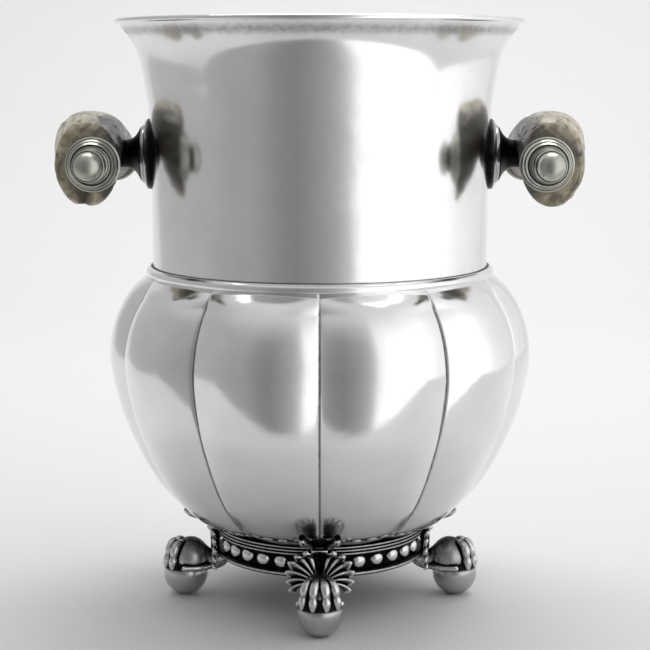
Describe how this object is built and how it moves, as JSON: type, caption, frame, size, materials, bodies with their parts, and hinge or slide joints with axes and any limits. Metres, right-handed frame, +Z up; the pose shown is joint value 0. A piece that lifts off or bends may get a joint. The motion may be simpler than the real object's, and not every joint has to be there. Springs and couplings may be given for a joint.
{
  "type": "champagne bucket",
  "caption": "Silver champagne bucket: flared collar on a melon-lobed bowl, beaded foot ring, claw-and-ball feet and curved horn grips with silver end caps.",
  "frame": {"origin": "on the ground, under the middle of the bucket, level with the bottoms of the four balls", "axes": "+Z up, the front is -Y, the two handles are on the X axis and each grip runs along Y"},
  "size_m": [0.2316, 0.1816, 0.2574],
  "materials": {
    "silver": "satin polish, softly worn",
    "bright_silver": "polished",
    "cap_silver": "polished, tarnished in the steps",
    "dark_silver": "polished, tarnished dark",
    "oxidised_silver": "oxidised black in the recesses, bright on the high points",
    "fastener_steel": "plain",
    "horn": "polished horn, beige with dark streaks and pits"
  },
  "bodies": {
    "root": {"ball_back": "bright_silver", "ball_front": "bright_silver", "ball_left": "bright_silver", "ball_right": "bright_silver", "band_bottom_moulding": "oxidised_silver", "band_top_moulding": "oxidised_silver", "base_band": "oxidised_silver", "beads": "bright_silver", "bowl": "silver", "claw_back": "oxidised_silver", "claw_front": "oxidised_silver", "claw_left": "oxidised_silver", "claw_right": "oxidised_silver", "collar": "silver", "handle_left_button_back": "cap_silver", "handle_left_button_front": "cap_silver", "handle_left_grip": "horn", "handle_left_plate_back": "cap_silver", "handle_left_plate_front": "cap_silver", "handle_left_ring_back": "cap_silver", "handle_left_ring_front": "cap_silver", "handle_left_rose": "dark_silver", "handle_left_screw": "fastener_steel", "handle_left_stem": "dark_silver", "handle_left_stem_base": "dark_silver", "handle_left_washer": "fastener_steel", "handle_right_button_back": "cap_silver", "handle_right_button_front": "cap_silver", "handle_right_grip": "horn", "handle_right_plate_back": "cap_silver", "handle_right_plate_front": "cap_silver", "handle_right_ring_back": "cap_silver", "handle_right_ring_front": "cap_silver", "handle_right_rose": "dark_silver", "handle_right_screw": "fastener_steel", "handle_right_stem": "dark_silver", "handle_right_stem_base": "dark_silver", "handle_right_washer": "fastener_steel", "leaf_bracket_back": "oxidised_silver", "leaf_bracket_front": "oxidised_silver", "leaf_bracket_left": "oxidised_silver", "leaf_bracket_right": "oxidised_silver", "rim_wire": "silver", "seam_moulding": "silver"}
  },
  "joints": []
}
